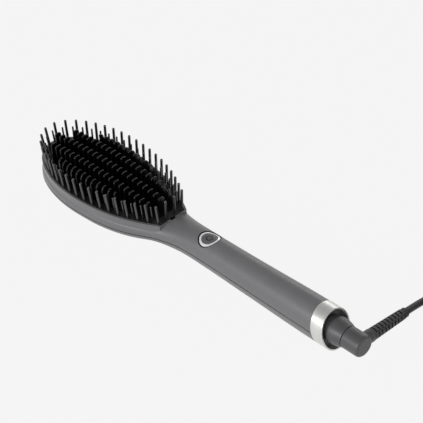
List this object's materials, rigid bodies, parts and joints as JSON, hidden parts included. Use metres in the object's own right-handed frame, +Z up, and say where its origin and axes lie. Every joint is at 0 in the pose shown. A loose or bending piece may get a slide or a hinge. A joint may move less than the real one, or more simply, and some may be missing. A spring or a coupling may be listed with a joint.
{
  "type": "heated hair straightening brush",
  "caption": "Heated paddle brush for straightening hair: comb blades in a ring of bristles, push button on a long handle, swivel mains cord.",
  "frame": {"origin": "on the resting plane, midway between the head's tip and the end of the swivel elbow, under the handle's axis", "axes": "+X along the handle from the head to the cord end, +Z up out of the bristles"},
  "size_m": [0.4015, 0.1694, 0.0421],
  "materials": {
    "housing": "satin grey moulded plastic",
    "bristle": "near-black moulded nylon",
    "plate": "aluminium with a near-black ceramic coating",
    "heater": "white ceramic",
    "steel": "bare steel",
    "felt": "pale fibre felt",
    "sensor": "glazed component",
    "lead": "silicone-sleeved wire",
    "chrome": "bright ring",
    "seal": "black soft seal",
    "button": "dark grey cap with a plain power mark",
    "board": "green circuit board",
    "component": "black board components",
    "band": "satin silver",
    "swivel": "dark grey moulded plastic",
    "brass": "bare brass",
    "cord": "dark grey flexible cord and mouldings"
  },
  "bodies": {
    "housing": {"upper_housing": "housing", "back_cover": "housing", "bristle_frame": "bristle", "tall_bristles": "bristle", "short_bristles": "bristle", "heated_plate": "plate", "comb_fins": "plate", "ceramic_heater": "heater", "heater_clamp": "steel", "clamp_screws": "steel", "insulation_pad": "felt", "thermal_fuse": "sensor", "thermistor": "sensor", "heat_shield": "steel", "shield_screws": "steel", "heater_leads": "lead", "sensor_leads": "lead", "button_ring": "chrome", "button_seal": "seal", "tact_switch": "button", "control_board": "board", "board_parts": "component", "board_screws": "steel", "mains_leads": "lead", "end_band": "band", "end_cap": "swivel", "swivel_collar": "swivel", "contact_holder": "swivel", "contact_pins": "steel"},
    "button": {"power_button": "button", "switch_plunger": "button"},
    "swivel": {"swivel_elbow": "swivel", "swivel_clip": "steel", "slip_rings": "brass", "strain_relief": "cord", "cord_lead": "cord", "cord_coil": "cord", "cord_tail": "cord", "coil_tie": "cord", "plug_body": "cord", "plug_pins": "brass"}
  },
  "joints": [
    {"name": "button_press", "type": "slide", "parent": "housing", "child": "button", "axis": [0, 0, -1], "range_m": [0, 0.0008], "stiffness_N_per_m": 1500},
    {"name": "cord_swivel", "type": "hinge", "parent": "housing", "child": "swivel", "pos_m": [0.1478, 0, 0.0156], "axis": [1, 0, 0], "continuous": true}
  ]
}
